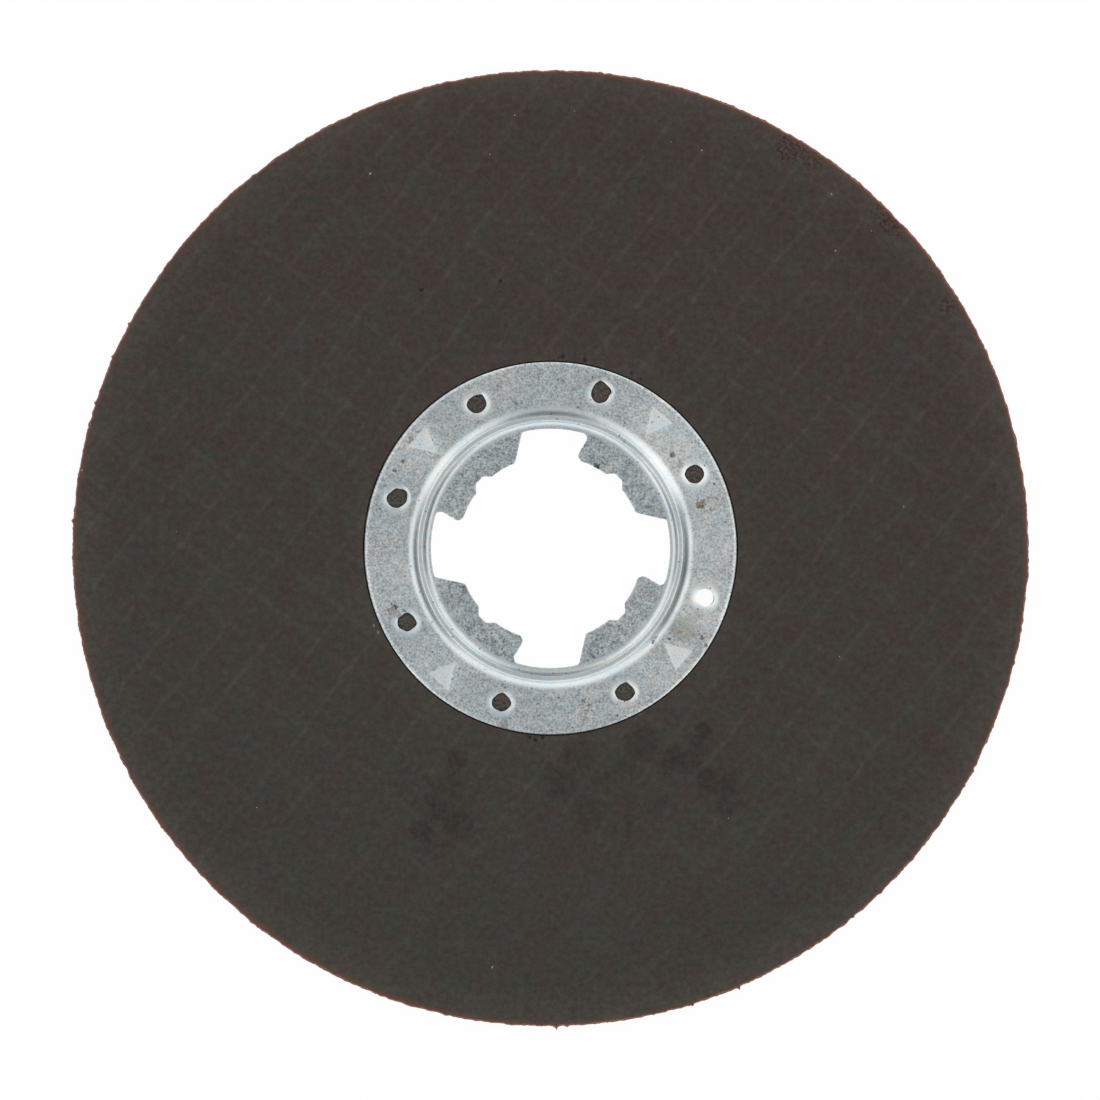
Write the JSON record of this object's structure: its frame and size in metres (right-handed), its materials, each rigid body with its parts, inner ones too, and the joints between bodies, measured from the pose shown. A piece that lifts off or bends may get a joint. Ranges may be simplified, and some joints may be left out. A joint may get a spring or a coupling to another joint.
{
  "type": "cut-off wheel",
  "caption": "Thin round abrasive cut-off wheel with a pressed steel quick-change flange, whose lobed bore with hooked tabs locks onto a grinder's holder.",
  "frame": {"origin": "on the wheel's axis, in the plane of its underside, on which it lies", "axes": "+Z along the wheel's axis, out of the face that holds the steel flange; +X and +Y in the plane of the wheel, +Y towards the top of the picture"},
  "size_m": [0.115, 0.115, 0.0017],
  "materials": {
    "abrasive": "matt resin-bonded grain with a faint glass-fibre mesh print",
    "zinc_steel": "satin zinc plating, finely speckled, with light rust stains"
  },
  "bodies": {
    "root": {"abrasive_disc": "abrasive", "steel_flange": "zinc_steel"}
  },
  "joints": []
}
